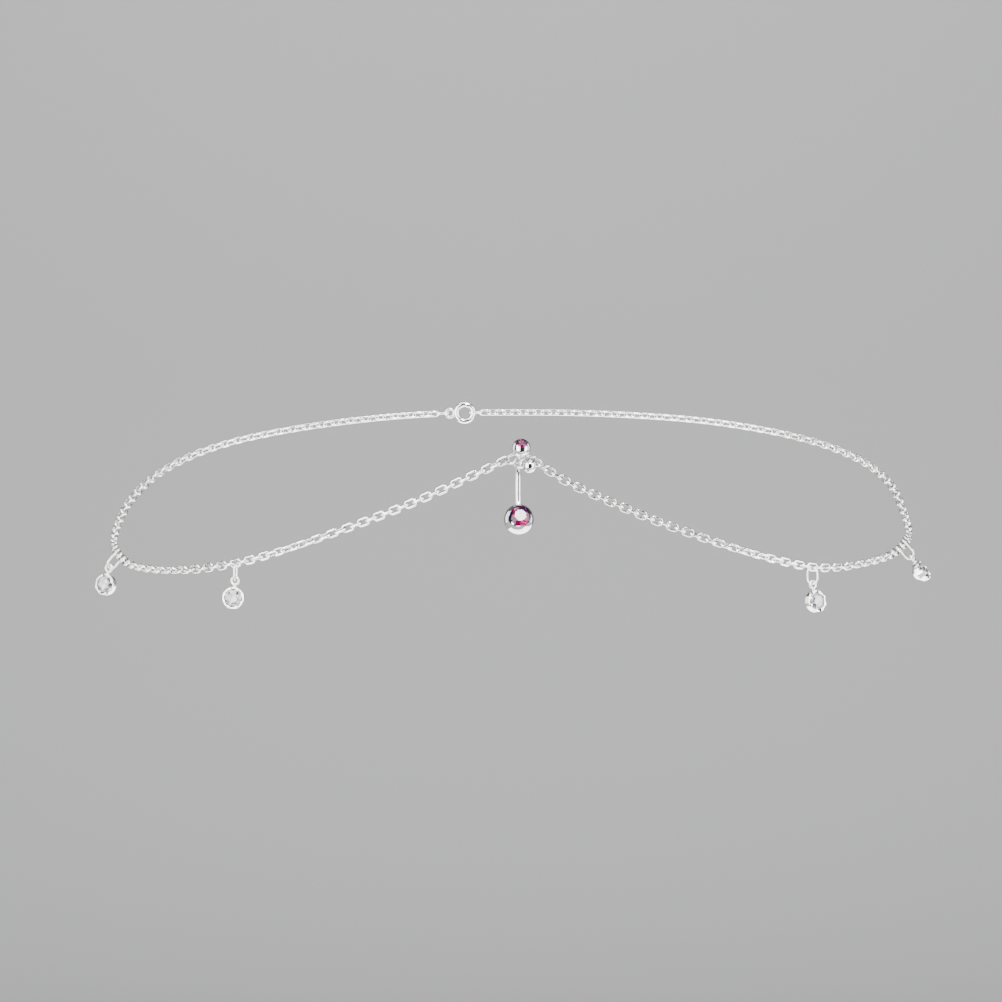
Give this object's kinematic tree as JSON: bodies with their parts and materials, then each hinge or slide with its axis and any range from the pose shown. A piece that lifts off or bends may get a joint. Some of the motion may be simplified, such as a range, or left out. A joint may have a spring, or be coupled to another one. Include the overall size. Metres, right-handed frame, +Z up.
{
  "type": "waist chain",
  "caption": "Cable waist chain worn in its own form: a curved navel bar with jewelled balls hangs in its end rings, with crystal drops along the sides and a clasp at the back.",
  "frame": {"origin": "the middle of the waist inside the chain's loop, at the height where the chain's low sides begin", "axes": "+X to the wearer's left (the picture's right), +Y backwards, +Z up along the body"},
  "size_m": [0.2321, 0.1708, 0.0597],
  "materials": {
    "bar_metal": "polished steel",
    "ring_metal": "polished, silver-coloured",
    "chain_metal": "bright silver plate",
    "setting_metal": "bright silver plate",
    "pink_gem": "cut and polished, fuchsia",
    "clear_crystal": "cut and polished, clear"
  },
  "bodies": {
    "waist_chain": {"chain_left": "chain_metal", "chain_right": "chain_metal", "chain_back_left": "chain_metal", "chain_back_right": "chain_metal", "clasp": "chain_metal", "clasp_ring_left": "chain_metal", "clasp_ring_right": "chain_metal", "jump_ring_left_front": "ring_metal", "setting_left_front": "setting_metal", "crystal_left_front": "clear_crystal", "jump_ring_right_front": "ring_metal", "setting_right_front": "setting_metal", "crystal_right_front": "clear_crystal", "jump_ring_left_side": "ring_metal", "setting_left_side": "setting_metal", "crystal_left_side": "clear_crystal", "jump_ring_right_side": "ring_metal", "setting_right_side": "setting_metal", "crystal_right_side": "clear_crystal"},
    "navel_piece": {"navel_bar": "bar_metal", "navel_gem": "pink_gem", "top_ball": "bar_metal", "top_gem": "pink_gem", "end_ring_left": "ring_metal", "end_ring_right": "ring_metal", "closing_ball": "ring_metal"}
  },
  "joints": [
    {"name": "navel_swing", "type": "hinge", "parent": "waist_chain", "child": "navel_piece", "pos_m": [0.0019, -0.0832, 0.0244], "axis": [1, 0, 0], "range_deg": [-25, 10]}
  ]
}
